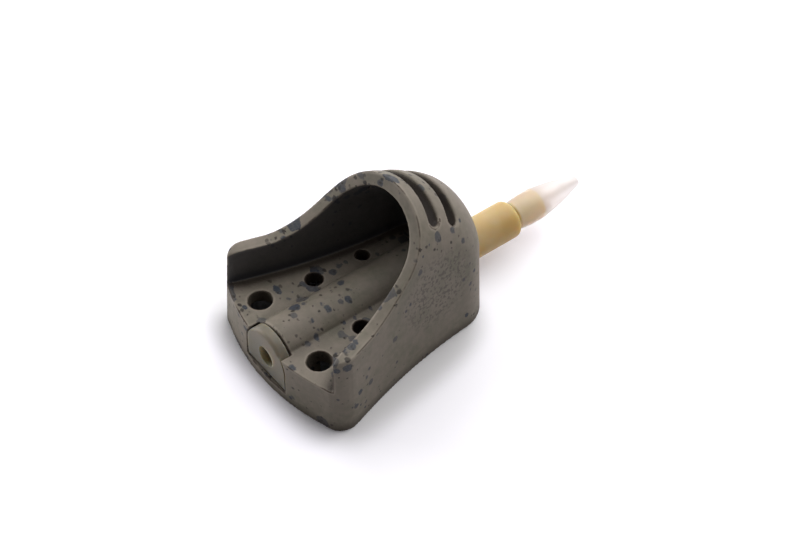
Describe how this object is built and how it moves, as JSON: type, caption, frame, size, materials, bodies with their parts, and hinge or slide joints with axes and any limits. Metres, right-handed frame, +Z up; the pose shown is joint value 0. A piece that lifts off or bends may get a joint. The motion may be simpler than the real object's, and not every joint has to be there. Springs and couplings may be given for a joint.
{
  "type": "inline pellet feeder",
  "caption": "Scoop-shaped inline fishing feeder: an open pellet bay under an arched, slotted hood, a flat ballasted base and a push-in tubular line stem with a tapered tail rubber.",
  "frame": {"origin": "on the base plane under the stem's axis, level with the front ends of the side walls", "axes": "+Y from the open mouth to the tail along the stem, +Z up out of the base, +X to the right seen from the open mouth"},
  "size_m": [0.034, 0.0686, 0.0296],
  "materials": {
    "body": "moulded plastic with dark speckles",
    "ballast": "dull cast metal",
    "stem": "amber translucent moulding",
    "tail_rubber": "milky translucent silicone"
  },
  "bodies": {
    "body": {"feeder_body": "body", "ballast_left": "ballast", "ballast_right": "ballast"},
    "stem": {"stem": "stem"},
    "tail": {"tail_rubber": "tail_rubber"}
  },
  "joints": [
    {"name": "stem_slide", "type": "slide", "parent": "body", "child": "stem", "axis": [0, -1, 0], "range_m": [0, 0.07]},
    {"name": "tail_rubber_slide", "type": "slide", "parent": "stem", "child": "tail", "axis": [0, 1, 0], "range_m": [0, 0.012]}
  ]
}
